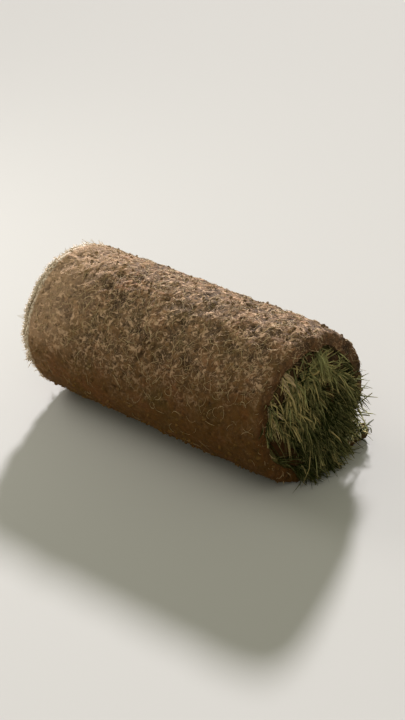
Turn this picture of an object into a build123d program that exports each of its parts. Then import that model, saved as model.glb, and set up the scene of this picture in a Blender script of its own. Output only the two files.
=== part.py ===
"""Roll of turf lying on the ground: a strip of turf wound soil side out round its own grass.

The roll lies along X. Its section is drawn in the YZ plane as a spiral of half-turns, each an arc
or two arcs and a flat, so every face of the mat is a cylinder or a plane. The loose end of the
strip lies flat on the ground on the +Y side. Sizes are in millimetres.
"""

from build123d import *
from math import cos, radians, sin
import os

# The strip as it was cut
strip_width = 500.0  # across the strip, so along the roll
mat_thickness = 22.0  # soil and roots, from the cut underside to the crown of the grass
cut_edge_bevel = 4.0  # the soil side's edges crumble away; roots hold the grass side's square
end_round = 7.0  # the same where the spade chopped the strip off, at its two ends

# The winding
half_turns = 7  # odd, so that the last half-turn comes down on the ground
packed_grass = 12.0  # grass flattened between two turns
core_half_width = 28.0  # from the winding's centre to the middle of the first half-turn
sag_flat = 50.0  # width of the flat that the weight presses into the outermost turn
tail_overhang = 18.0  # the loose end reaches this far past the side of the roll

# The grass that shows
tuft_reach = 32.0  # how far the grass stands out of each end where it stands out most
tuft_drop = 30.0  # that place is this far below the axis, because the grass hangs
rim_reach = 1.0  # how far it stands out under the very top of the outermost turn
tail_grass = 8.0  # height of the grass at the very tip of the loose end
lean_angle = 70.0  # the loose end's grass meets the roll here, below the axis
grass_clearance = 0.3  # soft grass to the mat on each side of it

# What follows from them
pitch = mat_thickness + packed_grass
last = half_turns - 1
outer_half_width = core_half_width + last * pitch / 2
lower_centre = pitch / 4
upper_centre = -pitch / 4


def half_width(k):
    """Half the width of half-turn k, measured to the middle of the mat."""
    return core_half_width + k * pitch / 2


def flat(k):
    """Width of the flat under a lower half-turn, which the weight presses less further in."""
    return sag_flat * half_width(k) / outer_half_width


def corner(k):
    """Radius of the two quarter arcs beside that flat."""
    return half_width(k) - flat(k) / 2


axis_height = corner(last) + mat_thickness / 2
roll_side = lower_centre + half_width(last - 2) + mat_thickness / 2
tail_tip = roll_side + tail_overhang


def winding(offset, first=0, lead=0.0, past_tip=0.0):
    """Draws the spiral, offset from the middle of the mat, from half-turn first out to the tip.

    lead and past_tip lengthen its two ends. Upper half-turns are the odd ones.
    """
    start_side = lower_centre - half_width(first) - offset
    if lead > 0:
        Line((start_side, axis_height + lead), (start_side, axis_height))
    for k in range(first, half_turns):
        if k % 2:
            CenterArc((upper_centre, axis_height), half_width(k) + offset, 0, 180)
            continue
        radius = corner(k) + offset
        left, right = lower_centre - flat(k) / 2, lower_centre + flat(k) / 2
        bottom = axis_height - radius
        CenterArc((left, axis_height), radius, 180, 90)
        if k == last:
            Line((left, bottom), (tail_tip + past_tip, bottom))
        else:
            Line((left, bottom), (right, bottom))
            CenterArc((right, axis_height), radius, 270, 90)


def strip_outline(thickness, end_gap=0.0):
    """Draws the closed outline of the wound strip at this thickness, end_gap longer at its ends."""
    winding(thickness / 2, lead=end_gap, past_tip=end_gap)
    winding(-thickness / 2, lead=end_gap, past_tip=end_gap)
    middle = lower_centre - half_width(0)
    start_height = axis_height + end_gap
    Line((middle - thickness / 2, start_height), (middle + thickness / 2, start_height))
    tail_middle = axis_height - corner(last)
    tip = tail_tip + end_gap
    Line((tip, tail_middle - thickness / 2), (tip, tail_middle + thickness / 2))


# The mat: one strip of soil and roots, wound up
with BuildPart() as soil_mat:
    with BuildSketch(Plane.YZ) as strip_section:
        with BuildLine():
            strip_outline(mat_thickness)
        make_face()
        core_start = (lower_centre - half_width(0) - mat_thickness / 2, axis_height)
        corners = strip_section.vertices()
        rubbed = [corners.sort_by_distance(point)[0] for point in (core_start, (tail_tip, 0))]
        fillet(rubbed, end_round)
    extrude(amount=strip_width / 2, both=True)
    # One edge of the soil side at each end: the bevel follows the tangent arcs and flats on
    cut_sides = soil_mat.faces().filter_by(Axis.X)
    chamfer([side.edges().sort_by(Axis.Z)[0] for side in cut_sides], cut_edge_bevel)

soil_mat.part.label = "soil_mat"

# The grass: it fills the space between the turns and the eye, and stands out of both ends
with BuildPart() as grass:
    with BuildSketch(Plane.YZ):
        with BuildLine():
            winding(0.0, first=last - 1)
            tip_top = (tail_tip, mat_thickness + tail_grass)
            lean_centre = lower_centre + flat(last - 2) / 2
            lean_radius = corner(last - 2)
            lean_top = (
                lean_centre + lean_radius * cos(radians(lean_angle)),
                axis_height - lean_radius * sin(radians(lean_angle)),
            )
            Line((tail_tip, mat_thickness / 2), tip_top)
            Line(tip_top, lean_top)
            CenterArc((lean_centre, axis_height), lean_radius, -lean_angle, lean_angle)
        make_face()
        with BuildLine():
            strip_outline(mat_thickness + 2 * grass_clearance, end_gap=grass_clearance)
        make_face(mode=Mode.SUBTRACT)
    extrude(amount=strip_width / 2 + tuft_reach, both=True)
    top_radius = half_width(last - 1) + mat_thickness / 2 + tuft_drop
    rise = tuft_reach - rim_reach
    dome_radius = (top_radius**2 + rise**2) / (2 * rise)
    crown = strip_width / 2 + tuft_reach
    for side in (-1, 1):
        with Locations((side * (crown - dome_radius), 0, axis_height - tuft_drop)):
            Sphere(dome_radius, rotation=(0, 0, 90), mode=Mode.INTERSECT)

grass.part.label = "grass"

os.makedirs("parts", exist_ok=True)
export_step(soil_mat.part, "parts/soil_mat.step")
export_step(grass.part, "parts/grass.step")
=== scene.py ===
"""Looks of a roll of turf: crumbly soil outside, cut ends, roots, and the grass that stands out.

Everything is in metres, in the frame of the CAD model: the roll lies along X, its loose end is
flat on the ground on the +Y side, and the ground is Z = 0.
"""

from collections import namedtuple
from math import radians

import bpy
import numpy as np
from mathutils import Matrix, Vector


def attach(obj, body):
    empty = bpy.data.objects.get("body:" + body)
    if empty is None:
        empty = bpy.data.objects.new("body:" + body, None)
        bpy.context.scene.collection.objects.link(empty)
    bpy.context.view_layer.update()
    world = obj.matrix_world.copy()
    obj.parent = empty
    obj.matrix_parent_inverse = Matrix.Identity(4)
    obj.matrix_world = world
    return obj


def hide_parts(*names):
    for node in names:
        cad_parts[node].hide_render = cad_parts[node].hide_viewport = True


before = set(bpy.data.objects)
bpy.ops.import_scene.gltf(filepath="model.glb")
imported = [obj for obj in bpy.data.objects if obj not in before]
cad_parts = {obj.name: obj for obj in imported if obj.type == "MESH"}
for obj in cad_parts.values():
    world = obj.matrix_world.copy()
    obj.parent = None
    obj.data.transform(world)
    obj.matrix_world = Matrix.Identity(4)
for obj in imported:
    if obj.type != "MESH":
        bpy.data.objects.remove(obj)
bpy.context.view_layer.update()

# Sizes of the roll, as in the CAD model
STRIP_WIDTH = 0.500
MAT = 0.022
PACKED_GRASS = 0.012
CORE_HALF_WIDTH = 0.028
SAG_FLAT = 0.050
TAIL_OVERHANG = 0.018
HALF_TURNS = 7
TUFT_REACH = 0.032
TUFT_DROP = 0.030
RIM_REACH = 0.001

PITCH = MAT + PACKED_GRASS
LAST = HALF_TURNS - 1
HALF = STRIP_WIDTH / 2

# The top of the outermost turn hangs down by this much at the right end, over this length
NEAR_DROOP = 0.007
DROOP_LENGTH = 0.075


# The winding

Run = namedtuple("Run", "kind y size angle start turn")


def half_width(k):
    """Half the width of half-turn k, to the middle of the mat."""
    return CORE_HALF_WIDTH + k * PITCH / 2


def flat(k):
    """Width of the flat under a lower half-turn."""
    return SAG_FLAT * half_width(k) / half_width(LAST)


def corner(k):
    """Radius of the quarter arcs beside that flat."""
    return half_width(k) - flat(k) / 2


AXIS_HEIGHT = corner(LAST) + MAT / 2
CENTRE = {0: PITCH / 4, 1: -PITCH / 4}
TAIL_TIP = CENTRE[0] + half_width(LAST - 2) + MAT / 2 + TAIL_OVERHANG
FLAT_STEP = PITCH - (corner(LAST) - corner(LAST - 2))
ROLL_SIDE = half_width(LAST) + MAT / 2 - CENTRE[0]
TOP_RADIUS = half_width(LAST - 1) + MAT / 2 + TUFT_DROP
RISE = TUFT_REACH - RIM_REACH
DOME_RADIUS = (TOP_RADIUS**2 + RISE**2) / (2 * RISE)


def winding_runs():
    """The middle line from the core out, as arcs (y, radius, first angle) and flats (y, z)."""
    runs, along = [], 0.0
    for k in range(HALF_TURNS):
        middle, wide = CENTRE[k % 2], half_width(k)
        if k % 2:
            parts = [("arc", middle, wide, 0.0, np.pi * wide)]
        else:
            left, right, radius = middle - flat(k) / 2, middle + flat(k) / 2, corner(k)
            quarter = np.pi / 2 * radius
            end = TAIL_TIP if k == LAST else right
            parts = [
                ("arc", left, radius, np.pi, quarter),
                ("flat", left, AXIS_HEIGHT - radius, 0.0, end - left),
            ]
            if k != LAST:
                parts.append(("arc", right, radius, 1.5 * np.pi, quarter))
        for kind, y, size, angle, length in parts:
            runs.append(Run(kind, y, size, angle, along, k))
            along += length
    return runs, along


RUNS, STRIP_LENGTH = winding_runs()


def on_winding(along):
    """Middle-line point, outward normal and half-turn number at distances along the strip."""
    along = np.asarray(along, float)
    point, normal = np.zeros(along.shape + (2,)), np.zeros(along.shape + (2,))
    turn = np.zeros(along.shape, int)
    for n, run in enumerate(RUNS):
        here = along >= run.start if n else np.ones(along.shape, bool)
        t = along[here] - run.start
        if run.kind == "arc":
            a = run.angle + t / run.size
            normal[here] = np.stack([np.cos(a), np.sin(a)], -1)
            height = AXIS_HEIGHT + run.size * np.sin(a)
            point[here] = np.stack([run.y + run.size * np.cos(a), height], -1)
        else:
            normal[here] = (0, -1)
            point[here] = np.stack([run.y + t, np.full(t.shape, run.size)], -1)
        turn[here] = run.turn
    return point, normal, turn


def facing(normal):
    """Which way normals face, in degrees: 0 is +Y, 90 is up and -90 is down."""
    return np.degrees(np.arctan2(normal[:, 1], normal[:, 0]))


def over_the_top(degrees):
    """Distances along the strip at angles round the outermost upper half-turn."""
    run = next(run for run in RUNS if run.turn == LAST - 1)
    return run.start + np.radians(degrees) * run.size


def gap_inside(normal, turn):
    """Room for the grass inside the mat: less under the lower half-turns, where it is pressed."""
    pressed = np.where(turn % 2 == 0, 1 - np.abs(normal[..., 0]), 0)
    return PACKED_GRASS - FLAT_STEP * pressed


def ramp(value, start, length):
    """A share that goes from 0 at the start to 1 a length further."""
    return np.clip((value - start) / length, 0, 1)


def droop(across):
    """Share of the droop: none on most of the roll, all of it at the right end."""
    return np.clip((across - (HALF - DROOP_LENGTH)) / DROOP_LENGTH, 0, 1.1) ** 2


def place(along, across, out):
    """Points of the strip: along it, across it and out from its middle."""
    point, normal, turn = on_winding(along)
    across = np.broadcast_to(across, point.shape[:-1])
    hang = NEAR_DROOP * droop(across) * np.clip(normal[..., 1], 0, 1) * (turn >= LAST - 1)
    section = point + normal * (np.asarray(out) - hang)[..., None]
    return np.concatenate([across[..., None], section], -1)


def waver(rng, size, shortest, longest, waves=7):
    """A gentle random wave of that size, to be read at any distance."""
    lengths = rng.uniform(shortest, longest, waves)
    phases = rng.uniform(0, 2 * np.pi, waves)
    heights = rng.normal(0, size / np.sqrt(waves) * 1.4, waves)

    def read(t):
        t = np.asarray(t, float)[..., None]
        return (np.sin(t * 2 * np.pi / lengths + phases) * heights).sum(-1)

    return read


# Node trees

NUMBER, VECTOR, COLOUR = "NodeSocketFloat", "NodeSocketVector", "NodeSocketColor"
SHAPE, FINISH, COUNT = "NodeSocketGeometry", "NodeSocketMaterial", "NodeSocketInt"
KINDS = {float: NUMBER, int: COUNT, tuple: COLOUR}


def sum_method(operation, other_first=False):
    """The method that adds the node for one kind of sum."""

    def method(self, other):
        return calc(operation, *((other, self) if other_first else (self, other)))

    return method


class Value:
    """An output of a node. A sum with it adds a node, and [key] is another output of its node."""

    __add__ = sum_method("ADD")
    __sub__ = sum_method("SUBTRACT")
    __rsub__ = sum_method("SUBTRACT", other_first=True)
    __mul__ = sum_method("MULTIPLY")
    __truediv__ = sum_method("DIVIDE")
    __rtruediv__ = sum_method("DIVIDE", other_first=True)

    def __init__(self, socket):
        self.socket = socket
        self.tree = socket.id_data

    def __getitem__(self, key):
        return Value(self.socket.node.outputs[key])


def feed(node, key, value):
    """Gives a node's input a plain value, or links another node's output to it."""
    if isinstance(value, Value):
        node.id_data.links.new(value.socket, node.inputs[key])
    else:
        node.inputs[key].default_value = value


def put(tree, kind, inputs=None, **settings):
    """Adds a node, sets it up, feeds its inputs and gives its first output."""
    node = tree.nodes.new(kind)
    for key, value in settings.items():
        setattr(node, key, value)
    for key, value in (inputs or {}).items():
        feed(node, key, value)
    return Value(node.outputs[0])


def tree_of(*values):
    """The node tree that these belong to."""
    return next(value.tree for value in values if isinstance(value, Value))


def calc(operation, *values, clamp=False):
    """One sum on numbers."""
    inputs = dict(enumerate(values))
    return put(tree_of(*values), "ShaderNodeMath", inputs, operation=operation, use_clamp=clamp)


def vector_calc(operation, first, second):
    """One sum on vectors."""
    return put(first.tree, "ShaderNodeVectorMath", {0: first, 1: second}, operation=operation)


def scaled(vector, amount):
    """A vector times a number."""
    inputs = {0: vector, "Scale": amount}
    return put(vector.tree, "ShaderNodeVectorMath", inputs, operation="SCALE")


def stretch(value, low, high, to_low=0.0, to_high=1.0):
    """Maps a value from one range to another and stops at its ends."""
    inputs = {0: value, 1: low, 2: high, 3: to_low, 4: to_high}
    return put(value.tree, "ShaderNodeMapRange", inputs, clamp=True)


def fade(mask, none, full):
    """A number that goes from one value to another as a mask goes from 0 to 1."""
    return stretch(mask, 0.0, 1.0, none, full)


def blend(factor, first, second, mode="MIX"):
    """Mixes two colours."""
    inputs = {0: factor, 6: first, 7: second}
    tree = tree_of(factor, first, second)
    return put(tree, "ShaderNodeMix", inputs, data_type="RGBA", blend_type=mode)[2]


def shade(colour, amount):
    """A colour times a number."""
    grey = put(amount.tree, "ShaderNodeCombineColor", {0: amount, 1: amount, 2: amount})
    return blend(1.0, colour, grey, "MULTIPLY")


def noise(position, size, detail=2.0, rough=0.5, distortion=0.0):
    """Cloudy noise with features of about that size in metres."""
    scale = put(position.tree, "ShaderNodeMath", {0: 1.0, 1: size}, operation="DIVIDE")
    inputs = {"Vector": position, "Scale": scale, "Detail": detail, "Roughness": rough}
    inputs["Distortion"] = distortion
    return put(position.tree, "ShaderNodeTexNoise", inputs)


def swirl(position, scale):
    """A different push in each direction, from a noise of that scale."""
    return put(position.tree, "ShaderNodeTexNoise", {"Vector": position, "Scale": scale})[1]


def stirred(position, scale, amount):
    """A position that a swirl pushes about, so that a pattern on it isn't regular."""
    return vector_calc("ADD", position, scaled(swirl(position, scale), amount))


def new_tree(name, kind, inputs, outputs):
    """A node tree with its inputs, as values by name, and its end node.

    An input or output is given by its default value, or by its kind where it has none.
    """
    tree = bpy.data.node_groups.new(name, kind)
    for in_out, sockets in (("INPUT", inputs), ("OUTPUT", outputs)):
        for label, default in sockets.items():
            socket_type = KINDS.get(type(default), default)
            socket = tree.interface.new_socket(label, in_out=in_out, socket_type=socket_type)
            if socket_type != default:
                socket.default_value = default
    given = {socket.name: Value(socket) for socket in tree.nodes.new("NodeGroupInput").outputs}
    return tree, given, tree.nodes.new("NodeGroupOutput")


def shape_tree(name, inputs):
    """A geometry tree that is given a shape, a material and those inputs."""
    inputs = {"Geometry": SHAPE, **inputs, "Material": FINISH}
    return new_tree(name, "GeometryNodeTree", inputs, {"Geometry": SHAPE})


def named(tree, name):
    """Reads a number that is stored on a shape's points."""
    return put(tree, "GeometryNodeInputNamedAttribute", {0: name}, data_type="FLOAT")


def store(shape, name, value):
    """Stores a number on a shape's points."""
    inputs = {0: shape, "Name": name, "Value": value}
    return put(shape.tree, "GeometryNodeStoreNamedAttribute", inputs)


def above_ground(shape, position, lowest):
    """Lifts what started lower than that height up to it."""
    x, y, z = put(shape.tree, "ShaderNodeSeparateXYZ", {0: position})
    lifted = {0: x, 1: y, 2: calc("MAXIMUM", z, lowest)}
    lifted = put(shape.tree, "ShaderNodeCombineXYZ", lifted)
    return put(shape.tree, "GeometryNodeSetPosition", {0: shape, "Position": lifted})


def close_tree(shape, material, end):
    """Realizes the instances, gives the material and ends the tree."""
    real = put(shape.tree, "GeometryNodeRealizeInstances", {0: shape})
    done = put(shape.tree, "GeometryNodeSetMaterial", {"Geometry": real, "Material": material})
    feed(end, 0, done)


def run_tree(piece, tree, values):
    """Runs a geometry tree on a new piece and keeps the result as its plain mesh."""
    modifier = piece.modifiers.new(tree.name, "NODES")
    modifier.node_group = tree
    for item in tree.interface.items_tree:
        if item.item_type == "SOCKET" and item.in_out == "INPUT" and item.name in values:
            modifier[item.identifier] = values[item.name]
    bpy.context.view_layer.update()
    graph = bpy.context.evaluated_depsgraph_get()
    evaluated = piece.evaluated_get(graph)
    mesh = bpy.data.meshes.new_from_object(
        evaluated, preserve_all_data_layers=True, depsgraph=graph
    )
    piece.modifiers.remove(modifier)
    draft, piece.data = piece.data, mesh
    bpy.data.meshes.remove(draft)
    mesh.name = piece.name
    return piece


def show(name, data):
    """A new object in the scene."""
    thing = bpy.data.objects.new(name, data)
    bpy.context.scene.collection.objects.link(thing)
    return thing


def new_piece(name, points, faces=(), edges=(), numbers=None, smooth=True):
    """A mesh object of that name, with its numbers stored on its points."""
    mesh = bpy.data.meshes.new(name)
    mesh.from_pydata(np.asarray(points).reshape(-1, 3).tolist(), edges, faces)
    for label, values in (numbers or {}).items():
        layer = mesh.attributes.new(label, "FLOAT", "POINT")
        layer.data.foreach_set("value", np.asarray(values, np.float32).ravel())
    if smooth and faces:
        mesh.shade_smooth()
    return show(name, mesh)


def crumble_tree():
    """Turns a smooth skin of soil crumbly: lumps, clods and pits, and never below the ground."""
    inputs = {
        "Lump height": 0.0016,
        "Lump size": 0.08,
        "Crust height": 0.0028,
        "Crust size": 0.026,
        "Clod height": 0.0016,
        "Clod size": 0.0075,
        "Pit depth": 0.003,
        "Pit size": 0.018,
        "Shaved share": 0.5,
    }
    tree, given, end = shape_tree("crumble", inputs)
    position = put(tree, "GeometryNodeInputPosition")
    normal = put(tree, "GeometryNodeInputNormal")
    cut = named(tree, "cut")

    # Wide lumps all over, and a rough crust on the upper part, but not on the cut ends
    lump = (noise(position, given["Lump size"]) - 0.5) * (given["Lump height"] * 5.0)
    height = put(tree, "ShaderNodeSeparateXYZ", {0: position})[2]
    crust = noise(position, given["Crust size"], 3.0) - 0.5
    crust = crust * stretch(height, 0.13, 0.21, 0.15, 5.0) * given["Crust height"]
    crust = crust * calc("SUBTRACT", 1.0, cut, clamp=True)
    lump = lump + crust

    # Small clods, flatter where the blade has shaved the soil
    rough = stretch(noise(position, 0.045), given["Shaved share"], 0.65, 0.2)
    rough = calc("MAXIMUM", rough, cut)
    cells = {"Vector": stirred(position, 90.0, 0.008), "Scale": 1.0 / given["Clod size"]}
    cells["Smoothness"] = 0.35
    cells = put(tree, "ShaderNodeTexVoronoi", cells, feature="SMOOTH_F1")["Distance"]
    clod = (0.42 - cells) * 2.4 * (given["Clod height"] * rough)

    pit = stretch(noise(position, given["Pit size"], 4.0, 0.65), 0.42, 0.27)
    fine = clod - pit * given["Pit depth"]
    shape = store(given["Geometry"], "relief", (fine + crust) / given["Clod height"])
    moved = scaled(normal, fine + lump)
    shape = put(tree, "GeometryNodeSetPosition", {0: shape, "Offset": moved})
    close_tree(above_ground(shape, position, 0.0004), given["Material"], end)
    return tree


def scatter_crumbs_tree():
    """Small irregular crumbs on a skin of soil, most of them tiny, half sunk in it."""
    inputs = {"Crumbs per square metre": 6000.0, "Smallest": 0.0007, "Largest": 0.0038, "Seed": 3}
    tree, given, end = shape_tree("crumbs", inputs)
    spread = {
        0: given["Geometry"],
        "Selection": calc("GREATER_THAN", named(tree, "bare"), 0.5),
        "Density": given["Crumbs per square metre"],
        "Seed": given["Seed"],
    }
    points = put(tree, "GeometryNodeDistributePointsOnFaces", spread)

    def chance(low, high, step):
        """A random number or vector for each crumb."""
        if isinstance(low, tuple):
            kind, low_key, output = "FLOAT_VECTOR", 0, 0
        else:
            kind, low_key, output = "FLOAT", 2, 1
        inputs = {low_key: low, low_key + 1: high, "Seed": given["Seed"] + step}
        return put(tree, "FunctionNodeRandomValue", inputs, data_type=kind)[output]

    share = calc("POWER", chance(0.0, 1.0, 1), 4.0)
    size = stretch(share, 0.0, 1.0, given["Smallest"], given["Largest"])
    squat = chance((0.75, 0.75, 0.55), (1.35, 1.35, 1.0), 3)
    any_way = chance((0.0, 0.0, 0.0), (6.28, 6.28, 6.28), 4)
    instances = {
        "Points": store(points, "tone", chance(0.0, 1.0, 2)),
        "Instance": put(tree, "GeometryNodeMeshIcoSphere", {"Radius": 1.0, "Subdivisions": 1}),
        "Rotation": put(tree, "FunctionNodeEulerToRotation", {0: any_way}),
        "Scale": scaled(squat, size),
    }
    crumbs = put(tree, "GeometryNodeInstanceOnPoints", instances)
    crumbs = put(tree, "GeometryNodeRealizeInstances", {0: crumbs})
    position = put(tree, "GeometryNodeInputPosition")
    jag = vector_calc("SUBTRACT", swirl(position, 420.0), (0.5, 0.5, 0.5))
    crumbs = put(tree, "GeometryNodeSetPosition", {0: crumbs, "Offset": scaled(jag, 0.003)})
    close_tree(above_ground(crumbs, position, 0.0002), given["Material"], end)
    return tree


def sweep_tree():
    """Sweeps a three-sided section, flat or full, along each line, as wide as its girth says."""
    tree, given, end = shape_tree("sweep", {"Section sides": 3, "Flatness": 0.3})
    lines = put(tree, "GeometryNodeMeshToCurve", {0: given["Geometry"]})
    lines = put(tree, "GeometryNodeSetCurveTilt", {0: lines, "Tilt": named(tree, "twist")})
    ring = {"Resolution": given["Section sides"], "Radius": 1.0}
    ring = put(tree, "GeometryNodeCurvePrimitiveCircle", ring)
    squash = put(tree, "ShaderNodeCombineXYZ", {0: 1.0, 1: given["Flatness"], 2: 1.0})
    swept = {
        "Curve": lines,
        "Profile Curve": put(tree, "GeometryNodeTransform", {0: ring, "Scale": squash}),
        "Scale": named(tree, "girth"),
        "Fill Caps": True,
    }
    close_tree(put(tree, "GeometryNodeCurveToMesh", swept), given["Material"], end)
    return tree


# Finishes


def look(name):
    """A new material with its tree and its one shader."""
    material = bpy.data.materials.new(name)
    material.use_nodes = True
    tree = material.node_tree
    return material, tree, tree.nodes["Principled BSDF"]


def finish_tree(name, inputs):
    """A shader group that gives a colour, a height for the bump and a roughness."""
    outputs = {"Colour": COLOUR, "Height": NUMBER, "Roughness": NUMBER}
    return new_tree(name, "ShaderNodeTree", inputs, outputs)


def earth_group():
    """Soil: patches of tone, crumbs of different dryness, pale flecks, pits and fine grain, with
    painted light and shade by height and side, in pits and at the far end's frayed rim.
    """
    inputs = {
        "Position": VECTOR,
        "Relief": 0.0,
        "Dark": COLOUR,
        "Middle": COLOUR,
        "Light": COLOUR,
        "Bleached rim highlight": (0.9, 0.79, 0.64, 1.0),
        "Red": COLOUR,
        "Olive": COLOUR,
        "Patch size": 0.06,
        "Grain size": 0.0042,
        "Flecks": 0.85,
        "Cut": 0.0,
        "Frayed rim highlight": 0.0,
        "Damp and shade tint": (0.75, 0.625, 0.29, 1.0),
    }
    tree, given, end = finish_tree("earth", inputs)
    position, cut = given["Position"], given["Cut"]
    far = vector_calc("ADD", position, (3.1, 1.7, 0.4))
    sideways, key_lit_side, height = put(tree, "ShaderNodeSeparateXYZ", {0: position})
    # A mask for the +Y side, which the key lamp lights. It paints light and shade: that side
    # counts as higher up, so it gets more crust and less damp tint, and its soil is painted
    # darker, with weaker flecks, squiggles and contrast.
    key_lit_side = stretch(key_lit_side, 0.02, 0.11)

    # Red and olive patches
    red = stretch(noise(position, given["Patch size"], 4.0, 0.6), 0.5, 0.68)
    red = calc("MAXIMUM", red, cut * 0.55)
    olive = stretch(noise(far, given["Patch size"], 4.0, 0.6), 0.5, 0.66)
    olive = olive * stretch(sideways, -0.24, -0.12, 0.0, 0.8)
    colour = blend(red, given["Middle"], given["Red"])
    colour = blend(olive, colour, given["Olive"])

    # Crumbs
    bent = stirred(position, 160.0, 0.004)
    cells = {"Vector": bent, "Scale": 1.0 / given["Grain size"]}
    cells = put(tree, "ShaderNodeTexVoronoi", cells)
    dryness = put(tree, "ShaderNodeSeparateColor", {0: cells["Color"]})
    crumb = 0.62 - cells["Distance"]
    cloud = noise(position, 0.012, 5.0, 0.65)

    # Painted light and shade by height: the upper part, pushed up on the +Y side and towards the
    # far end, gets a pale crust that is partly dry soil and partly painted sunlight; lower down, a
    # darker, yellower tint is partly damp soil and partly painted shade, with less contrast
    drift = noise(far, 0.05, 3.0, 0.6)
    up = (drift - 0.5) * 0.16 + height + key_lit_side * 0.085
    up = up + stretch(sideways, 0.26, -0.26, -0.035, 0.03)
    up = up + stretch(sideways, -0.16, -0.25, 0.0, 0.03)
    crust = stretch(up, 0.11, 0.2)
    damp_and_shade = stretch(up, 0.215, 0.08) * fade(key_lit_side, 1.0, 0.45)
    damp_and_shade = damp_and_shade * stretch(sideways, -0.22, 0.1, 0.86, 1.0)
    # A painted lift of light on the lowest part, most towards the far end, and slight painted
    # shade on a band above it
    painted_light_by_height = stretch(height, 0.135, 0.075, 0.0, 0.3) * stretch(sideways, 0.02, 0.22, 1.0, 0.1)
    painted_light_by_height = painted_light_by_height + stretch(height, 0.17, 0.2, 0.93, 1.0)

    # Dry crumbs are paler; from the stored relief, the tops of clods get painted light and pits
    # get painted shade
    light = dryness * 0.55 + cloud * 1.3 + given["Relief"] * 0.12
    depth = stretch(light, 0.64, 1.18, 0.42, 1.42) - 1.0
    # The crust gets a darker base with more contrast, and the upper part dark and pale patches:
    # partly random tone and partly painted raking sunlight on the clods
    depth = depth * fade(crust, 0.3, 1.0) * fade(key_lit_side, 1.0, 0.65) + fade(crust, 1.02, 0.82)
    depth = depth * fade(key_lit_side, 1.0, 0.8) * painted_light_by_height
    long_way = vector_calc("MULTIPLY", far, (0.6, 1.0, 1.0))
    blotch = stretch(noise(long_way, 0.024, 4.0, 0.6), 0.42, 0.58, -0.46, 0.46)
    blotch = blotch * stretch(up, 0.15, 0.225) - cut * 0.22
    colour = shade(colour, depth * (blotch + 1.0))
    # Paler crust: partly dry soil, and towards the far end mostly a painted highlight; less on the
    # +Y side
    bleach_and_far_end_light = crust * stretch(sideways, -0.11, -0.23, 0.14, 0.62) * fade(key_lit_side, 1.0, 0.2)
    colour = blend(bleach_and_far_end_light * given["Flecks"], colour, given["Light"])
    # Painted shade in the pits
    pit = stretch(given["Relief"], -0.5, -1.7) * 0.6
    colour = blend(pit, colour, given["Dark"])
    # Painted shade and damp soil: the lower part is darkened and yellowed
    tint = blend(damp_and_shade, (1.0, 1.0, 1.0, 1.0), given["Damp and shade tint"])
    colour = blend(1.0, colour, tint, "MULTIPLY")

    # Squiggles of root and thatch: where a cloudy noise passes its middle value, broken up
    band = noise(stirred(position, 60.0, 0.012), 0.014, 1.0, 0.4)
    broken = stretch(noise(far, 0.010, 2.0, 0.6), 0.47, 0.55)
    squiggle = stretch(calc("ABSOLUTE", band - 0.5), 0.062, 0.022) * broken
    squiggle = squiggle * calc("SUBTRACT", 1.0, cut, clamp=True)
    # A painted shadow along one side of each squiggle, on the crust, weaker on the +Y side
    painted_squiggle_shadow = stretch(calc("ABSOLUTE", band - 0.39), 0.05, 0.02) * (broken * 0.42)
    painted_squiggle_shadow = painted_squiggle_shadow * fade(key_lit_side, 1.0, 0.4)
    colour = blend(painted_squiggle_shadow * crust, colour, given["Dark"])

    # Pale flecks: bits of thatch and dry crumbs, in drifts, mostly on the crust; fewer on the +Y
    # side, as painted shade there
    fleck = stretch(noise(bent, 0.0048, 3.0, 0.55, 1.2), 0.55, 0.63, 0.0, 0.9)
    fleck = calc("MAXIMUM", fleck * stretch(drift, 0.36, 0.6, 0.2, 1.0), squiggle)
    fleck = fleck * fade(crust, 0.08, 1.0) * given["Flecks"] * fade(key_lit_side, 1.0, 0.32)
    # The frayed far edge is painted near white: pale straw and a painted rim highlight, weaker on
    # the +Y side
    fray_highlight = stretch(noise(bent, 0.0032, 3.0, 0.65), 0.38, 0.5)
    fray_highlight = fray_highlight * given["Frayed rim highlight"] * fade(key_lit_side, 1.0, 0.35)
    colour = blend(fleck, colour, given["Light"])
    colour = blend(fray_highlight, colour, given["Bleached rim highlight"])
    speck = stretch(noise(position, 0.0011, 3.0, 0.7), 0.2, 0.8, 0.8, 1.18)
    feed(end, "Colour", shade(colour, speck))

    fleck = calc("MAXIMUM", fleck, fray_highlight)
    grit = noise(position, 0.0016, 3.0, 0.7)
    feed(end, "Height", crumb * 0.5 + cloud * 0.9 + fleck * 0.6 + grit * 0.4)
    feed(end, "Roughness", stretch(light, 0.4, 1.4, 0.84, 0.98))
    return tree


def plant_group():
    """Grass and roots: base, middle and tip tones, drier from blade to blade, with fine veins."""
    inputs = {
        "Along": 0.5,
        "Tone": 0.5,
        "Dryness": 0.0,
        "Position": VECTOR,
        "Base": COLOUR,
        "Deep": COLOUR,
        "Fresh": COLOUR,
        "Dry": COLOUR,
    }
    tree, given, end = finish_tree("plant", inputs)
    along, tone, position = given["Along"], given["Tone"], given["Position"]
    colour = blend(tone, given["Deep"], given["Fresh"])
    colour = blend(stretch(along, 0.28, 0.0), colour, given["Base"])
    cloud = noise(position, 0.006, 3.0, 0.6)
    spots = stretch(cloud, 0.6, 0.75, 0.0, 0.45)
    parched = calc("MAXIMUM", stretch(along, 0.78, 1.0) * tone, spots * along)
    parched = calc("MAXIMUM", parched, given["Dryness"])
    colour = blend(parched, colour, given["Dry"])
    feed(end, "Colour", shade(colour, stretch(cloud, 0.3, 0.7, 0.78, 1.2)))
    feed(end, "Height", noise(position, 0.0009, 2.0))
    feed(end, "Roughness", fade(parched, 0.5, 0.8))
    return tree


EARTH, PLANT = earth_group(), plant_group()


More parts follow.
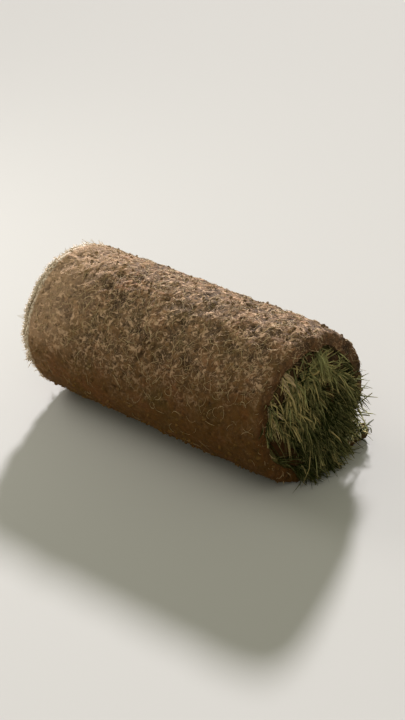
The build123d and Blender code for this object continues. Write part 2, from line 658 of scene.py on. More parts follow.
def rgb(red, green, blue):
    """A colour as it is seen, from 0 to 255, in the renderer's own values."""
    values = [v / 255 for v in (red, green, blue)]
    linear = [v / 12.92 if v <= 0.04045 else ((v + 0.055) / 1.055) ** 2.4 for v in values]
    return (*linear, 1.0)


def finish(name, group, stored, tones, specular, bump):
    """A material from a shared group, which reads numbers that are stored on the piece."""
    material, tree, shader = look(name)
    inputs = {"Position": put(tree, "ShaderNodeTexCoord")["Object"]}
    for label, attribute in stored.items():
        inputs[label] = put(tree, "ShaderNodeAttribute", attribute_name=attribute)["Fac"]
    for label, tone in tones.items():
        inputs[label.capitalize()] = rgb(*tone)
    made = put(tree, "ShaderNodeGroup", inputs, node_tree=group)
    feed(shader, "Base Color", made["Colour"])
    feed(shader, "Roughness", made["Roughness"])
    feed(shader, "Specular IOR Level", specular)
    feed(shader, "Normal", put(tree, "ShaderNodeBump", {"Height": made["Height"], **bump}))
    return material


def soil_finish(name, relief, bump, **tones):
    """A soil material, which paints shade where the stored number for its relief is low."""
    stored = {"Relief": relief, "Cut": "cut", "Frayed rim highlight": "frayed"}
    return finish(name, EARTH, stored, tones, 0.2, {"Distance": bump, "Strength": 0.9})


def plant_finish(name, **tones):
    """A material for blades or roots."""
    stored = {"Along": "along", "Tone": "tone", "Dryness": "dryness"}
    return finish(name, PLANT, stored, tones, 0.1, {"Distance": 0.0002})


soil_look = soil_finish(
    "turf_soil",
    "relief",
    bump=0.0015,
    dark=(50, 36, 22),
    middle=(112, 85, 58),
    light=(216, 182, 150),
    red=(126, 89, 64),
    olive=(98, 82, 50),
)
# A darker copy of the soil for the turns inside the roll, as painted shade
shaded_inner_look = soil_finish(
    "turf_soil_inside_shaded",
    "relief",
    bump=0.0015,
    dark=(40, 28, 17),
    middle=(86, 64, 43),
    light=(150, 124, 94),
    red=(94, 64, 43),
    olive=(76, 62, 38),
)
crumb_look = soil_finish(
    "turf_crumbs",
    "tone",
    bump=0.0005,
    dark=(78, 58, 38),
    middle=(122, 99, 72),
    light=(190, 164, 130),
    red=(128, 100, 74),
    olive=(110, 94, 64),
)
# The fresh tone is pale enough to stand for painted light on the tufts' upper clumps
green_look = plant_finish(
    "turf_grass",
    base=(64, 61, 13),
    deep=(38, 47, 4),
    fresh=(196, 196, 136),
    dry=(204, 186, 130),
)
straw_look = plant_finish(
    "turf_straw",
    base=(150, 118, 84),
    deep=(166, 138, 100),
    fresh=(206, 184, 142),
    dry=(222, 204, 166),
)
# Near-white straw: pale dead straw, brightened as a painted rim highlight
rim_highlight_straw_look = plant_finish(
    "turf_straw_rim_highlight",
    base=(222, 202, 178),
    deep=(224, 206, 184),
    fresh=(242, 228, 208),
    dry=(250, 238, 220),
)


# The mat

SOIL_ROUND, GRASS_ROUND, TIP_ROUND = 0.006, 0.002, 0.007  # radii of the mat's edges
WAVY_LENGTH = 0.035  # how far in from a cut end its waves are felt
TORN_LENGTH = 0.06  # how far back from the tip its tears are felt

end_draws = np.random.default_rng(11)
END_WAVES = {
    side: (waver(end_draws, 0.0024, 0.03, 0.2), waver(end_draws, 0.0012, 0.05, 0.25))
    for side in (-1, 1)
}
CRUMBLE, CRUMBS, SWEEP = crumble_tree(), scatter_crumbs_tree(), sweep_tree()


def cut_profile(side_step, inner_step, inner_margin, soil_margin=None):
    """Points once round the strip's cut section, as distances across it and out from its middle.

    The soil side comes first. Both sides are fine near the cut ends, and where no margin is given,
    all the way across. Also returned are how much each point lies on a cut end, whether it is
    bare soil, and how many points the soil side has.
    """

    def across_side(reach, margin):
        if margin is None:
            return np.linspace(-reach, reach, int(2 * reach / side_step) + 1)
        near = np.linspace(0, margin, max(2, int(margin / side_step)), endpoint=False)
        far = np.linspace(margin, 2 * reach - margin, int(2 * (reach - margin) / inner_step) + 1)
        return np.concatenate([near, far, 2 * reach - near[::-1]]) - reach

    def bend(radius, first, steps):
        angles = np.radians(first - np.linspace(0, 90, steps + 2)[1:-1])
        across = HALF - radius + radius * np.cos(angles)
        out = radius * np.sin(angles) + np.sign(np.sin(angles)) * (MAT / 2 - radius)
        return across, out

    soil = across_side(HALF - SOIL_ROUND, soil_margin)
    grass = across_side(HALF - GRASS_ROUND, inner_margin)
    outer, inner = bend(SOIL_ROUND, 90, 3), bend(GRASS_ROUND, 0, 1)
    face = np.linspace(MAT / 2 - SOIL_ROUND, GRASS_ROUND - MAT / 2, 7)
    end_across = np.concatenate([outer[0], np.full(len(face), HALF), inner[0]])
    end_out = np.concatenate([outer[1], face, inner[1]])
    end_cut = np.concatenate([[0.35, 0.7, 0.9], np.ones(len(face)), [0.8]])

    def all_round(on_soil_side, on_end, on_grass_side):
        soil_side = np.full(len(soil), on_soil_side)
        grass_side = np.full(len(grass), on_grass_side)
        return np.concatenate([soil_side, on_end, grass_side, on_end[::-1]])

    across = np.concatenate([soil, end_across, grass[::-1], -end_across[::-1]])
    out = all_round(MAT / 2, end_out, -MAT / 2)
    cut = all_round(0.0, end_cut, 0.0)
    bare = all_round(1.0, np.ones(len(end_cut)), 0.0)
    return across, out, cut, bare, len(soil)


def closed_skin(name, points, numbers):
    """A skin through rings of points, closed at both ends and facing outwards."""
    rows, columns = points.shape[:2]
    i, j = np.meshgrid(np.arange(rows - 1) * columns, np.arange(columns), indexing="ij")
    after = (j + 1) % columns
    quads = np.stack([i + j, i + after, i + columns + after, i + columns + j], -1).reshape(-1, 4)
    caps = [np.arange(columns)[::-1], np.arange(columns) + (rows - 1) * columns]
    a, b, c, d = (points.reshape(-1, 3)[quads[:, n]] for n in range(4))
    volume = (a * (np.cross(b, c) + np.cross(c, d))).sum()
    faces = quads.tolist() + [cap.tolist() for cap in caps]
    if volume < 0:
        faces = [face[::-1] for face in faces]
    return new_piece(name, points, faces, numbers=numbers)


def close_tip(along, outward):
    """Rounds the rings towards the loose end's tip and adds rings that shut it."""
    to_tip = STRIP_LENGTH - along

    def drawn_in(radius):
        return radius - np.sqrt(np.maximum(radius**2 - np.maximum(radius - to_tip, 0) ** 2, 0))

    low = drawn_in(GRASS_ROUND)[:, None] - MAT / 2
    high = MAT / 2 - drawn_in(TIP_ROUND)[:, None]
    outward = low + (outward + MAT / 2) / MAT * (high - low)
    closing = np.linspace(0, 1, 10)[1:]
    last = outward[-1]
    shut = last + (last.min() - last) * 0.98 * closing[:, None]
    over = STRIP_LENGTH + 0.0006 * np.sin(np.pi / 2 * closing)
    return np.concatenate([along, over]), np.concatenate([outward, shut])


def soil_skin(name, along, profile, seed, ragged_tip=False):
    """The mat's skin over some length of the strip, with wavy cut ends and, if asked, its tip."""
    rng = np.random.default_rng(seed)
    across, out, cut, bare, _ = profile
    outward = np.tile(out, (len(along), 1))
    if ragged_tip:
        along, outward = close_tip(along, outward)
    near_end = ramp(np.abs(across), HALF - WAVY_LENGTH, WAVY_LENGTH) ** 2
    shift, sag = np.zeros(outward.shape), np.zeros(outward.shape)
    for side, (edge, curl) in END_WAVES.items():
        sided = near_end * (np.sign(across) == side)
        shift += side * edge(along)[:, None] * sided
        sag += curl(along)[:, None] * sided
    along = np.tile(along[:, None], (1, len(across)))
    if ragged_tip:
        tear, nibble = waver(rng, 0.0032, 0.03, 0.16, 9), waver(rng, 0.0009, 0.007, 0.02, 9)
        reach = ramp(along, STRIP_LENGTH - TORN_LENGTH, TORN_LENGTH)
        along = along + tear(across)[None, :] * reach + nibble(across)[None, :] * reach**6
    points = place(along, across[None, :] + shift, outward + sag)
    under = (points[..., 2] < 0.004).astype(float)
    # The far end's outer edge is frayed; the soil material paints it near white there as a rim
    # highlight, less where it faces down
    edge = ramp(-across, HALF - 0.011, 0.004) * ramp(out, 0.003, 0.003)
    _, normal, turn = on_winding(along[:, 0])
    numbers = {
        "frayed": edge * ((turn >= LAST - 1) * np.clip(1.3 + 1.6 * normal[:, 1], 0, 1))[:, None],
        "cut": np.tile(cut, (len(along), 1)),
        "bare": np.tile(bare, (len(along), 1)) * (1 - under),
        "relief": np.zeros(outward.shape),
    }
    return closed_skin(name, points, numbers), outward.shape


# The exposed turns run from under the roll's +Y side, over the top and down to the tip
LOWER_RIGHT = next(run for run in RUNS if run.turn == LAST - 2 and run.angle == 1.5 * np.pi)
SPLIT = LOWER_RIGHT.start - 0.006

outer_profile = cut_profile(side_step=0.0026, inner_step=0.022, inner_margin=0.03)
soil_columns = outer_profile[-1]
outer_along = np.linspace(SPLIT, STRIP_LENGTH, 305)
tip_along = STRIP_LENGTH - np.array([0.0052, 0.0038, 0.0026, 0.0016, 0.0009, 0.0004, 0.0])
outer_along = np.concatenate([outer_along[outer_along < tip_along[0] - 0.001], tip_along])
outer_turn, outer_grid = soil_skin(
    "soil_outer_turn", outer_along, outer_profile, seed=21, ragged_tip=True
)
outer_rows = outer_grid[0]
run_tree(outer_turn, CRUMBLE, {"Material": soil_look})

inner_profile = cut_profile(
    side_step=0.004, inner_step=0.04, inner_margin=0.028, soil_margin=0.028
)
inner_along = np.linspace(0.0, SPLIT, int(SPLIT / 0.005))
inner_turns, _ = soil_skin("soil_inner_turns", inner_along, inner_profile, seed=22)
run_tree(inner_turns, CRUMBLE, {"Material": shaded_inner_look})

crumbs = show("soil_crumbs", outer_turn.data.copy())
crumbs.data.materials.clear()
run_tree(crumbs, CRUMBS, {"Crumbs per square metre": 10500.0, "Material": crumb_look})


# The grass pressed between the turns


def pressed_sward():
    """A bumpy band of flattened grass on the inner side of every turn, out to the tail's tip."""
    rng = np.random.default_rng(31)
    along = np.linspace(0.002, STRIP_LENGTH - 0.012, 300)
    _, normal, turn = on_winding(along)
    past = ramp(along, STRIP_LENGTH - 0.11, 0.03)
    room = gap_inside(normal, turn) * (1 - past) + 0.004 * past
    hollow = np.clip(1 - np.abs(facing(normal) - 45) / 70, 0, 1) * (turn >= LAST - 1)
    reach, margin, sunk = HALF - 0.010, 0.012, 0.0012
    middle = np.linspace(-reach + margin, reach - margin, 8)
    fine = np.array([0.0, 0.003, 0.007])
    side = np.concatenate([-reach + fine, middle, reach - fine[::-1]])
    dome = np.array([0.12, 0.32, 0.5, 0.68, 0.88])
    swell = 0.005 * (1 - (2 * dome - 1) ** 2)
    across = np.concatenate([side, reach + swell, side[::-1], -reach - swell])
    level = np.concatenate([np.zeros(len(side)), dome, np.ones(len(side)), dome[::-1]])
    depth = -sunk + level * (room[:, None] + 2 * sunk)
    shift = np.zeros(depth.shape)
    near_end = ramp(np.abs(across), 0.2, 0.05)
    for sign in (-1, 1):
        wave = waver(rng, 0.0035, 0.009, 0.06, 11)(along) - 0.022 * np.clip(hollow * 2, 0, 1)
        shift += wave[:, None] * near_end * (np.sign(across) == sign) * sign
    points = place(np.tile(along[:, None], (1, len(across))), across + shift, -MAT / 2 - depth)
    points[..., 2] = np.maximum(points[..., 2], 0.002)
    rough = rng.uniform(0, 1, depth.shape)
    numbers = {"along": rough * 0.25, "tone": rough * 0.3, "dryness": rough * 0.2}
    return closed_skin("grass_pressed", points, numbers)


sward = pressed_sward()
sward.data.materials.append(green_look)


# Blades, roots and straw

STEPS = np.linspace(0, 1, 5)
EYE = (0.021, 0.008)  # the dark middle of the winding, from the axis


def strands(name, paths, widths, tone, dryness, twist, taper, material, flatness=0.3):
    """Blades or fibres along those paths, as one piece."""
    count, steps = paths.shape[:2]
    t = np.linspace(0, 1, steps)
    body = np.interp(t, [0, 0.3, 0.65, 1], [0.75, 1.0, 0.85, 0.0])
    start = np.arange(count)[:, None] * steps + np.arange(steps - 1)
    edges = np.stack([start, start + 1], -1).reshape(-1, 2).tolist()
    every, taper = np.ones(steps), np.reshape(taper, (-1, 1))
    numbers = {
        "along": np.tile(t, (count, 1)),
        "tone": tone[:, None] * every,
        "dryness": dryness[:, None] * every,
        "girth": widths[:, None] * (body + taper * np.clip(t * 2 - 1, 0, 1) + 0.04),
        "twist": twist[:, None] + t * np.sin(twist * 7)[:, None] * 1.2,
    }
    piece = new_piece(name, paths, edges=edges, numbers=numbers)
    return run_tree(piece, SWEEP, {"Flatness": flatness, "Material": material})


def fibres(name, rng, paths, widths, tone, dry, taper, material, flatness=0.7):
    """Strands with a random tone, dryness and twist each."""
    count = len(paths)
    tone, dry = rng.uniform(*tone, count), rng.uniform(*dry, count)
    twist = rng.uniform(0, 6, count)
    return strands(name, paths, widths, tone, dry, twist, taper, material, flatness)


def draws(rng, count):
    """Two ways to draw that many numbers: evenly between two, and around one with a spread."""

    def even(low, high):
        return rng.uniform(low, high, count)

    def around(mean, spread):
        return rng.normal(mean, spread, count)

    return even, around


def unit(vectors):
    """The same directions, one long."""
    return vectors / np.linalg.norm(vectors, axis=-1, keepdims=True)


def settle(paths, floor):
    """Lays what would pass through the ground down on it, and keeps the sides in their place."""
    ease, edge, softness = 0.01, ROLL_SIDE + 0.004, 0.012
    low, height = np.reshape(floor, (-1, 1)), paths[..., 2]
    eased = low + ease * np.exp(np.minimum((height - low) / ease - 1, 0))
    paths[..., 2] = np.where(height < low + ease, eased, height)
    side = np.abs(paths[..., 1])
    held = edge + softness * np.tanh((side - edge) / softness)
    paths[..., 1] *= np.where(side > edge, held / side, 1)
    return paths


def bent_paths(roots, headings, lengths, bend, floor):
    """Paths that leave their roots on those headings and bend over, never below the floor."""
    t = STEPS[None, :, None]
    way = headings[:, None] * t + bend[:, None] * t**2
    return settle(roots[:, None] + lengths[:, None, None] * way, floor)


def under_roof(paths):
    """Keeps blades under the outermost turn where it arches over them, and freer at its sides."""
    softness = 0.004
    away = paths[..., 1:] - (CENTRE[1], AXIS_HEIGHT)
    distance = np.maximum(np.linalg.norm(away, axis=-1), 1e-6)
    upwards = np.clip(away[..., 1] / distance, 0, 1)
    limit = half_width(LAST - 1) - MAT / 2 - 0.0015 + 0.05 * (1 - upwards)
    limit = limit - (NEAR_DROOP + 0.004) * droop(paths[..., 0]) * upwards
    past = np.maximum(distance - limit, 0)
    kept = np.minimum(distance, limit) + softness * np.tanh(past / softness)
    paths[..., 1:] = (CENTRE[1], AXIS_HEIGHT) + away * (kept / distance)[..., None]
    return paths


def under_dome(rng, paths, side):
    """Gives a tuft its dome, which single blades stand a little proud of."""
    from_crown = np.linalg.norm(paths[..., 1:] - (0.0, AXIS_HEIGHT - TUFT_DROP), axis=-1)
    limit = HALF + TUFT_REACH - from_crown**2 / (2 * DOME_RADIUS) + 0.014
    limit = limit + rng.normal(0, 0.003, (len(paths), 1))
    stand = side * paths[..., 0]
    paths[..., 0] = side * np.where(stand > limit, limit + (stand - limit) * 0.15, stand)
    return paths


def rooted(rng, count, worn):
    """Places along the strip where clumps or blades of an end's tuft are rooted."""
    along = rng.uniform(0.004, STRIP_LENGTH - 0.078, count * 4)
    _, normal, turn = on_winding(along)
    angle = facing(normal)
    outermost = turn >= LAST - 1
    chance = np.ones(len(along))
    chance[outermost & (angle > -5)] = 0.1
    chance[outermost & (angle > -5) & (angle < 75)] = 0.03
    chance[outermost & (angle > 150)] = 0.35
    chance[outermost & (angle < -110)] = 0.12 * (1 - 0.7 * worn)
    chance[(turn == LAST - 2) & (angle < -115)] = 0.35 * (1 - 0.7 * worn)
    chance[(turn == LAST - 3) & (angle > 155)] = 1 - 0.5 * worn
    chance[(turn == LAST - 4) & (angle < -125)] = 1 - 0.5 * worn
    chance[(turn == LAST - 2) & (angle > -60)] = 0.5
    chance[turn < 2] = 1.0
    chance /= chance.max()
    return along[np.flatnonzero(rng.uniform(0, 1, len(along)) < chance)[:count]]


def end_grass(name, side, clumps, loose, seed, trimmed=0.0, worn=0.0):
    """The tuft that stands out of one end: clumps of blades rooted in every turn, and loose ones.

    They lean out from the axis and droop, those under the top of the roll most of all. A trimmed
    tuft is shorter beside the rim. A worn one is thin, dry and swept inwards on the -Y side.
    """
    rng = np.random.default_rng(seed)

    # Every clump has a root, a heading, a length and a tone of its own
    root = rooted(rng, clumps, worn)
    clumps = len(root)
    sizes = rng.integers(12, 34, clumps)
    group = np.concatenate([np.repeat(np.arange(clumps), sizes), clumps + np.arange(loose)])
    root = np.concatenate([root, rooted(rng, loose, worn)])
    group = np.minimum(group, len(root) - 1)
    total = len(root)
    even, around = draws(rng, total)
    centre = place(root, side * HALF, -MAT / 2 - 0.006)
    from_axis = centre[:, 1:] - (0.0, AXIS_HEIGHT)
    radius = np.linalg.norm(from_axis, axis=1)
    radial = from_axis / np.maximum(radius, 0.012)[:, None]
    share = np.clip(radius / 0.11, 0, 1)
    top = np.clip(radial[:, 1], 0, 1) * share
    round_axis = np.stack([-radial[:, 1], radial[:, 0]], -1)

    # It hangs over the rim below, leaves it bare on the -Y side, and on the +Y side above the axis
    above = np.clip(from_axis[:, 1] / 0.03 + 2.6, 0, 1)
    below = np.clip(0.5 - from_axis[:, 1] / 0.04, 0, 1)
    open_side = 1 - (0.75 + 0.8 * below) * np.clip(-radial[:, 0] * 1.6, 0, 1)
    open_side *= 1 - 1.1 * np.clip(radial[:, 0] * 1.8, 0, 1) * above
    outwards = 0.42 * share * (1 - 0.8 * top * (radius > 0.086)) * open_side
    freely = 0.35 + 0.65 * np.clip(open_side, 0, 1)
    lean = (around(0.1, 0.22) * freely + outwards)[:, None] * radial
    lean += around(0.1, 0.42)[:, None] * round_axis
    lean += rng.normal(0, 0.16, (total, 2))
    swept = worn * np.clip(-radial[:, 0] * 1.6 - 0.2, 0, 1) * np.clip(share * 1.6 - 0.5, 0, 1)
    lean[:, 0] += swept * (0.1 + 0.5 * below)

    # The roll's eye stays open: the grass leans away from it
    from_eye = from_axis - EYE
    eye_radius = np.linalg.norm(from_eye, axis=1)
    eye_side = np.exp(-((eye_radius / 0.03) ** 2))
    lean += (0.85 * eye_side / np.maximum(eye_radius, 0.008))[:, None] * from_eye
    size = even(0.034, 0.07) * (1 - 0.26 * share) * (1 - 0.3 * eye_side)
    size *= 1 - trimmed * share * np.clip(0.9 - radial[:, 0], 0, 1)
    hang = even(0.15, 0.62) * (1 + 0.35 * top)

    # Painted light and shade in the tones: clumps above the axis but away from the rim, and on the
    # +Y side, get bright, widely spread tones; the rest get dark ones, darkest in the eye and low
    # on the worn -Y side
    painted_light_share = ramp(from_axis[:, 1], 0.004, 0.035) * ramp(radius, 0.1, -0.015)
    painted_light_share = np.maximum(painted_light_share, 0.6 * ramp(from_axis[:, 0], 0.045, 0.02) * above)
    clump_tone = rng.beta(1.0, 2.2, total) * 0.42 * (1 - painted_light_share)
    clump_tone += (0.1 + 1.05 * rng.beta(0.6, 0.55, total)) * painted_light_share
    clump_tone *= 1 - 0.8 * np.exp(-((eye_radius / 0.028) ** 2))
    clump_tone = np.clip(clump_tone * (1 - 0.55 * swept * below), 0, 1)
    clump_dry = even(0, 1)

    # The blades of a clump differ a little in all of this, and a few loose ones are long
    count = len(group)
    even, around = draws(rng, count)
    spread = np.where(group < clumps, 0.008, 0.0)
    along = np.clip(root[group] + around(0, 1) * spread, 0.003, STRIP_LENGTH - 0.07)
    _, normal, turn = on_winding(along)
    depth = even(0.05, 0.95) * gap_inside(normal, turn)
    roots = place(along, side * (HALF - even(0.004, 0.02)), -MAT / 2 - depth)
    each = lean[group] + rng.normal(0, 0.1, (count, 2)) * (1 + (group >= clumps))[:, None]
    headings = unit(np.concatenate([np.full((count, 1), side * 1.0), each], 1))
    lengths = size[group] * even(0.6, 1.15)
    long_ones = (group >= clumps) & (even(0, 1) < 0.12)
    lengths = lengths * np.where(long_ones & (from_axis[group, 1] < 0.0), 1.45, 1.0)
    bend = np.zeros((count, 3))
    bend[:, 0] = -side * even(0.1, 0.4)
    bend[:, 1:] = each * even(0.0, 0.35)[:, None] + rng.normal(0, 0.09, (count, 2))
    bend[:, 2] -= hang[group] * even(0.75, 1.25)
    paths = bent_paths(roots, headings, lengths, bend, even(0.0012, 0.007))
    paths = under_roof(under_dome(rng, paths, side))

    width = even(0.0009, 0.0021)
    # Blades in the painted light are more often pale, as a painted highlight; worn ones on the -Y
    # side above the axis are dry
    pale = 0.02 + 0.13 * (clump_dry[group] > 0.8) + 0.2 * (painted_light_share * (radial[:, 0] < 0.1))[group]
    pale += 0.55 * (swept * (1 - below))[group]
    dry = np.where(even(0, 1) < pale, 1, 0)
    dry = dry * even(0.6, 1)
    tone = np.clip(clump_tone[group] + around(0, 0.17), 0, 1)
    twist = even(0, 2 * np.pi)
    taper = np.where(even(0, 1) < 0.3, 0.5, 0.0)
    return strands(name, paths, width, tone, dry, twist, taper, green_look)


tuft_near = end_grass("grass_tuft_right", 1, clumps=165, loose=2300, seed=41, worn=1.0)
tuft_far = end_grass("grass_tuft_left", -1, clumps=165, loose=2300, seed=42, trimmed=0.5)


def dry_wisps(seed):
    """A few long dry blades that hang down from the right end's rim on the -Y side."""
    rng = np.random.default_rng(seed)
    angle = np.concatenate([rng.normal(128, 4, 22), rng.normal(160, 4, 16)])
    count = len(angle)
    even, around = draws(rng, count)
    roots = place(over_the_top(angle), HALF - even(0.001, 0.006), -MAT / 2)
    headings = np.stack([around(1, 0.2), around(0.3, 0.25), around(-0.5, 0.3)], -1)
    bend = np.stack([around(-0.35, 0.1), around(0.05, 0.1), around(-0.5, 0.15)], -1)
    paths = bent_paths(roots, unit(headings), even(0.018, 0.036), bend, 0.002)
    width = even(0.0011, 0.002)
    return fibres("dry_wisps", rng, paths, width, (0.4, 1), (0.3, 1), 0.3, straw_look, 0.3)


wisps = dry_wisps(seed=44)


def tail_grass(count, seed):
    """Grass on the loose end, leaning up against the roll."""
    rng = np.random.default_rng(seed)
    even, around = draws(rng, count)
    along = STRIP_LENGTH - even(0.0, 0.088)
    across = even(-HALF - 0.001, HALF + 0.001)
    roots = place(along, across, -MAT / 2 + 0.0006)
    headings = np.stack([around(0, 0.35), around(-0.45, 0.4), even(0.45, 1.0)], -1)
    headings[:, 0] += ramp(np.abs(across), HALF - 0.02, 0.02) * np.sign(across) * 0.8
    to_tip = ramp(roots[:, 1], TAIL_TIP, -0.06)
    lengths = even(0.014, 0.026) + to_tip * even(0.0, 0.022)
    bend = np.stack([around(0, 0.2), around(-0.1, 0.3), -even(0.2, 0.6)], -1)
    paths = bent_paths(roots, unit(headings), lengths, bend, 0.004)

    # Blades that would enter the roll lie on it instead
    roll_y, roll_size = CENTRE[0] + flat(LAST - 2) / 2, corner(LAST - 2) + MAT / 2 + 0.002
    away = paths[..., 1:] - (roll_y, AXIS_HEIGHT)
    distance = np.linalg.norm(away, axis=-1, keepdims=True)
    pushed = (roll_y, AXIS_HEIGHT) + away / distance * roll_size
    inside = (distance < roll_size) & (paths[..., 1:2] > roll_y)
    paths[..., 1:] = np.where(inside, pushed, paths[..., 1:])
    width = even(0.0008, 0.0017)
    dry = np.where(even(0, 1) < 0.07, even(0.5, 1), 0)
    tone = rng.beta(1.3, 2.6, count)
    twist = even(0, 2 * np.pi)
    taper = np.where(even(0, 1) < 0.4, 0.5, 0.0)
    return strands("grass_tail", paths, width, tone, dry, twist, taper, green_look)


tail_tuft = tail_grass(count=4200, seed=43)


def read_points(piece):
    """The points of a plain mesh."""
    values = np.empty(len(piece.data.vertices) * 3, np.float32)
    piece.data.vertices.foreach_get("co", values)
    return values.reshape(-1, 3)


outer_points = read_points(outer_turn).reshape(*outer_grid, 3)


def on_soil(row, column, lift):
    """Points just over the crumbly soil side, by place in its grid."""
    row = np.clip(row, 0, outer_rows - 9.001)
    column = np.clip(column, 0, soil_columns - 1.001)
    i, j = row.astype(int), column.astype(int)
    fi, fj = (row - i)[..., None], (column - j)[..., None]
    top = outer_points[i, j] * (1 - fj) + outer_points[i, j + 1] * fj
    low = outer_points[i + 1, j] * (1 - fj) + outer_points[i + 1, j + 1] * fj
    point = top * (1 - fi) + low * fi
    point[..., 1:] += unit(point[..., 1:] - (0.0, AXIS_HEIGHT)) * lift[..., None]
    return point


def soil_roots(count, seed):
    """Fine pale roots and bits of straw that lie on the soil side, fewer low on the roll."""
    rng = np.random.default_rng(seed)
    even, around = draws(rng, count)
    heading = even(0, 2 * np.pi)
    curl = around(0, 0.35)
    length = even(3.0, 9.0) + even(0.0, 5.0) ** 2 / 5
    row = rng.uniform(4, outer_rows - 60, count * 4)
    height = outer_points[row.astype(int), soil_columns // 2, 2]
    kept = rng.uniform(0, 1, len(row)) < 0.06 + 0.94 * ramp(height, 0.1, 0.1)
    row = row[kept][:count]
    column = even(2, soil_columns - 2)
    way = heading[:, None] + curl[:, None] * np.arange(len(STEPS)) * 1.25
    step = length[:, None] / (len(STEPS) - 1)
    rows = row[:, None] + np.cumsum(np.cos(way) * step, 1)
    columns = column[:, None] + np.cumsum(np.sin(way) * step, 1)
    arch = even(0.0, 0.0022)[:, None] * np.sin(np.pi * STEPS)
    paths = on_soil(rows, columns, arch + 0.0001)
    paths[..., 2] = np.maximum(paths[..., 2], 0.0008)
    width, twist = even(0.00018, 0.0005), even(0, 6)
    tone, dry = even(0, 1), even(0, 0.4)
    return strands("roots", paths, width, tone, dry, twist, 0.5, straw_look, flatness=0.9)


roots = soil_roots(count=1500, seed=51)


def out_of_end(along, sideways, outwards, across):
    """Headings from a cut end, by their parts along the strip, out from it and across it."""
    normal = on_winding(along)[1]
    tangent = np.stack([-normal[:, 1], normal[:, 0]], -1)
    lean = sideways[:, None] * tangent + outwards[:, None] * normal
    return unit(np.concatenate([across[:, None], lean], 1))


def rim_straw(count, seed):
    """Pale thatch and cut roots that fray out of both cut ends."""
    rng = np.random.default_rng(seed)
    along = rng.uniform(SPLIT - 0.05, STRIP_LENGTH - 0.01, count * 2)
    high = on_winding(along)[1][:, 1]
    along = along[rng.uniform(0, 1, len(along)) < 0.7 + 0.25 * high][:count]
    count = len(along)
    even, around = draws(rng, count)
    side = np.where(even(0, 1) < 0.92, -1.0, 1.0)
    out = even(-MAT / 2, MAT / 2)
    # The far end's outer edge is the most frayed
    frayed = (side < 0) & (even(0, 1) < 0.65)
    out = np.where(frayed, MAT / 2 - even(0.001, 0.005), out)
    edge = np.array([END_WAVES[s][0](a) for s, a in zip(side, along)])
    start = place(along, side * (HALF + edge - even(0.0005, 0.003)), out)
    sideways = around(0, 0.7)
    outwards = np.where(frayed, around(-0.25, 0.2), around(0.0, 0.4))
    headings = out_of_end(along, sideways, outwards, side * even(0.3, 1))
    lengths = even(0.004, 0.014) * np.where(frayed, 0.55, 1)
    bend = rng.normal(0, 0.3, (count, 3)) + (0, 0, -0.2)
    paths = bent_paths(start, headings, lengths, bend, 0.001)
    width = even(0.00025, 0.0006) * np.where(frayed, 1.7, 1)
    return fibres("rim_straw", rng, paths, width, (0, 1), (0, 0.5), 0.4, straw_look)


fringe = rim_straw(count=1500, seed=52)


def rim_highlight_fringe(count, seed):
    """Pale dead roots and straw along the far end's outer edge, coloured near white: their own
    pale colour and a painted rim highlight.
    """
    rng = np.random.default_rng(seed)
    even, around = draws(rng, count)
    along = over_the_top(np.clip(around(138, 30), 60, 196))
    edge = END_WAVES[-1][0](along) * -1.0
    out = MAT / 2 - even(0.0, 0.006)
    start = place(along, -HALF + edge + even(0.0, 0.003), out)
    sideways, outwards = around(0, 0.6), around(0.05, 0.25)
    headings = out_of_end(along, sideways, outwards, -even(0.7, 1))
    bend = rng.normal(0, 0.3, (count, 3))
    paths = bent_paths(start, headings, even(0.003, 0.0075), bend, 0.001)
    width = even(0.0004, 0.001)
    return fibres("rim_highlight_fringe", rng, paths, width, (0, 1), (0.2, 1), 0.4, rim_highlight_straw_look)


rim_highlight_straws = rim_highlight_fringe(count=1500, seed=54)


def tip_straw(count, seed):
    """Torn roots that stand out of the loose end's broken edge."""
    rng = np.random.default_rng(seed)
    even, _ = draws(rng, count)
    row = rng.integers(outer_rows - 9, outer_rows - 1, count)
    start = outer_points[row, rng.integers(1, soil_columns - 1, count)] - (0, 0.001, 0)
    headings = rng.normal(0, 0.6, (count, 3)) + (0, 0.9, 0)
    lengths = even(0.003, 0.012)
    bend = rng.normal(0, 0.35, (count, 3)) + (0, 0, -0.2)
    paths = bent_paths(start, unit(headings), lengths, bend, 0.001)
    width = even(0.0002, 0.0006)
    return fibres("tip_straw", rng, paths, width, (0, 1), (0, 0.4), 0.4, straw_look)


torn = tip_straw(count=700, seed=53)


# Bodies, and the CAD parts that the pieces stand for

for piece in (outer_turn, inner_turns, crumbs, roots, fringe, rim_highlight_straws, torn):
    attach(piece, "root")
    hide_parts("soil_mat")
for piece in (sward, tuft_near, tuft_far, wisps, tail_tuft):
    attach(piece, "root")
    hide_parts("grass")


# Floor, light and camera


def seen_directly(tree, *rays):
    """1 for the camera's rays and those kinds of ray, and 0 for the rest."""
    path = put(tree, "ShaderNodeLightPath")
    direct = path["Is Camera Ray"]
    for ray in rays:
        direct = calc("MAXIMUM", direct, path[ray])
    return direct


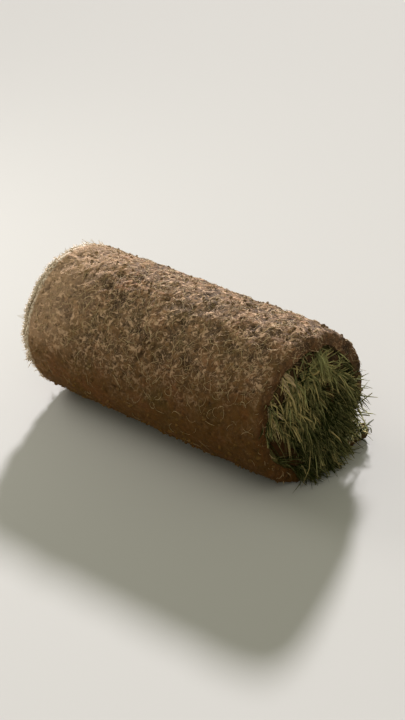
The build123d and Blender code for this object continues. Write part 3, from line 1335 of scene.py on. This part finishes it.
def stage_floor():
    """A plain pale floor, less bright for the light that it throws back than for the camera."""
    corners = [(-8, -8, 0), (8, -8, 0), (8, 8, 0), (-8, 8, 0)]
    floor = new_piece("floor", corners, [[0, 1, 2, 3]], smooth=False)
    material, tree, shader = look("pale_floor")
    direct = seen_directly(tree, "Is Glossy Ray", "Is Transmission Ray")
    feed(shader, "Base Color", blend(direct, rgb(152, 143, 128), rgb(200, 201, 200)))
    feed(shader, "Roughness", 0.9)
    feed(shader, "Specular IOR Level", 0.1)
    floor.data.materials.append(material)


def aim(thing, spot, target, roll=0.0):
    """Puts a lamp or a camera at a spot and turns it to a target."""
    spot, target = Vector(spot), Vector(target)
    turned = (target - spot).to_track_quat("-Z", "Y").to_matrix().to_4x4()
    thing.matrix_world = Matrix.Translation(spot) @ turned @ Matrix.Rotation(roll, 4, "Z")


def lamp(name, kind, energy, spot, target, colour, size):
    """One soft studio lamp."""
    data = bpy.data.lights.new(name, kind)
    data.energy, data.color = energy, colour
    if kind == "SUN":
        data.angle = size
    else:
        data.shape, data.size = "DISK", size
    aim(show(name, data), spot, target)


def studio_world():
    """Soft light from all round, seen by the camera as a pale backdrop."""
    world = bpy.data.worlds.new("studio")
    world.use_nodes = True
    tree = world.node_tree
    direct = seen_directly(tree, "Is Transmission Ray")
    colour = blend(direct, (0.30, 0.29, 0.215, 1), rgb(226, 225, 222))
    feed(tree.nodes["Background"], 0, colour)
    bpy.context.scene.world = world


stage_floor()
studio_world()
ROLL_MIDDLE = (0.02, 0.0, 0.118)
FAR_END = (-0.25, 0.0, 0.12)
lamp(
    "key", "SUN", 5.6, (-1.05, 1.48, 1.0), ROLL_MIDDLE,
    colour=(1.0, 0.945, 0.96), size=radians(6),
)
lamp(
    "side", "AREA", 7.2, (-1.3, -0.3, 0.95), FAR_END,
    colour=(1.0, 0.95, 0.86), size=0.9,
)
lamp(
    "fill", "SUN", 0.4, (1.4, -1.6, 1.9), ROLL_MIDDLE,
    colour=(1.0, 0.97, 0.88), size=radians(50),
)

camera = show("camera", bpy.data.cameras.new("camera"))
camera.data.lens = 94.5
aim(camera, (1.85127, -1.89179, 1.50623), ROLL_MIDDLE, radians(-2.43))
bpy.context.scene.camera = camera
bpy.context.scene.view_settings.view_transform = "Standard"
